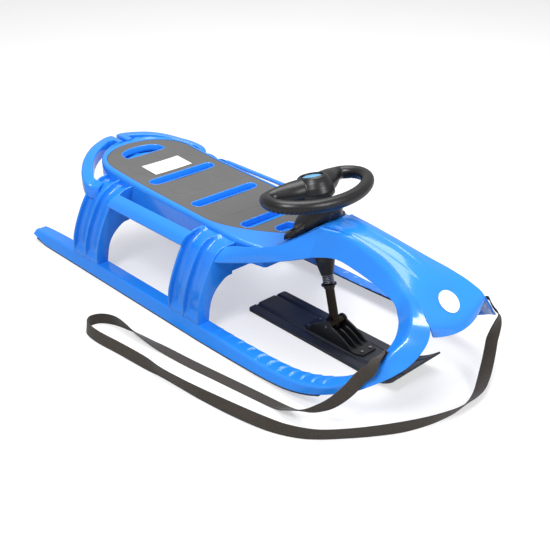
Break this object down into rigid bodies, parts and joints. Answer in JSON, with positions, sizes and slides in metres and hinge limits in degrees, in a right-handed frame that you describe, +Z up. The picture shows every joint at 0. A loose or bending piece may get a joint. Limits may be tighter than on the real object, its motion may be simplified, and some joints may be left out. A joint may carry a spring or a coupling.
{
  "type": "steerable snow sled",
  "caption": "Moulded plastic snow sled on runners, with a padded seat, a sprung steering column with a hand wheel, a pivoting front ski and a pull strap.",
  "frame": {"origin": "on the ground below the middle of the sled, the strap left out", "axes": "+X towards the front, +Y towards the rider's left, +Z up"},
  "size_m": [1.2272, 0.6125, 0.3607],
  "materials": {
    "blue_moulding": "glossy blow-moulded plastic",
    "mat": "matt grey foam mat",
    "label": "bare printed film, left blank",
    "black_plastic": "satin black",
    "badge": "light blue, left blank",
    "runner_steel": "dark wear strip",
    "shaft_steel": "dark coated tube",
    "spring_steel": "bright wire",
    "screw_steel": "plated",
    "ski_plastic": "smooth blue-black",
    "webbing": "ribbed webbing"
  },
  "bodies": {
    "sled": {"seat_pan": "blue_moulding", "seat_mat": "mat", "mat_label": "label", "arch_rear_left": "blue_moulding", "arch_rear_right": "blue_moulding", "arch_front_left": "blue_moulding", "arch_front_right": "blue_moulding", "crossbeam_rear": "blue_moulding", "crossbeam_front": "blue_moulding", "side_rail_left": "blue_moulding", "side_rail_right": "blue_moulding", "front_rail_left": "blue_moulding", "front_rail_right": "blue_moulding", "handle_left": "blue_moulding", "handle_right": "blue_moulding", "runner_left": "blue_moulding", "runner_right": "blue_moulding", "runner_strip_left": "runner_steel", "runner_strip_right": "runner_steel", "bow_left": "blue_moulding", "bow_right": "blue_moulding", "hood": "blue_moulding", "nose_disc": "label", "saddle_bracket": "black_plastic", "saddle_screw_left": "screw_steel", "saddle_screw_right": "screw_steel", "column_bush": "black_plastic", "strap_bar_left": "black_plastic", "strap_bar_right": "black_plastic", "pull_strap": "webbing"},
    "thrust_set": {"spring_washer": "spring_steel", "spring": "spring_steel"},
    "column": {"steering_wheel": "black_plastic", "hub_badge": "badge", "steering_shaft": "shaft_steel", "spring_collar": "black_plastic"},
    "ski": {"ski_bracket": "black_plastic", "ski_pivot_pin": "screw_steel", "ski_blade": "ski_plastic", "ski_screw_rear_left": "screw_steel", "ski_screw_rear_right": "screw_steel", "ski_screw_front_left": "screw_steel", "ski_screw_front_right": "screw_steel"}
  },
  "joints": [
    {"name": "steering", "type": "hinge", "parent": "sled", "child": "thrust_set", "pos_m": [0.2718, 0, 0.04], "axis": [-0.2504, 0, 0.9681], "range_deg": [-30, 30]},
    {"name": "suspension", "type": "slide", "parent": "thrust_set", "child": "column", "axis": [-0.2504, 0, 0.9681], "range_m": [0, 0.007], "stiffness_N_per_m": 6000, "springref_m": -0.004, "deforming": ["spring"]},
    {"name": "ski_pitch", "type": "hinge", "parent": "column", "child": "ski", "pos_m": [0.2718, 0, 0.04], "axis": [0, 1, 0], "range_deg": [-8, 12]}
  ]
}
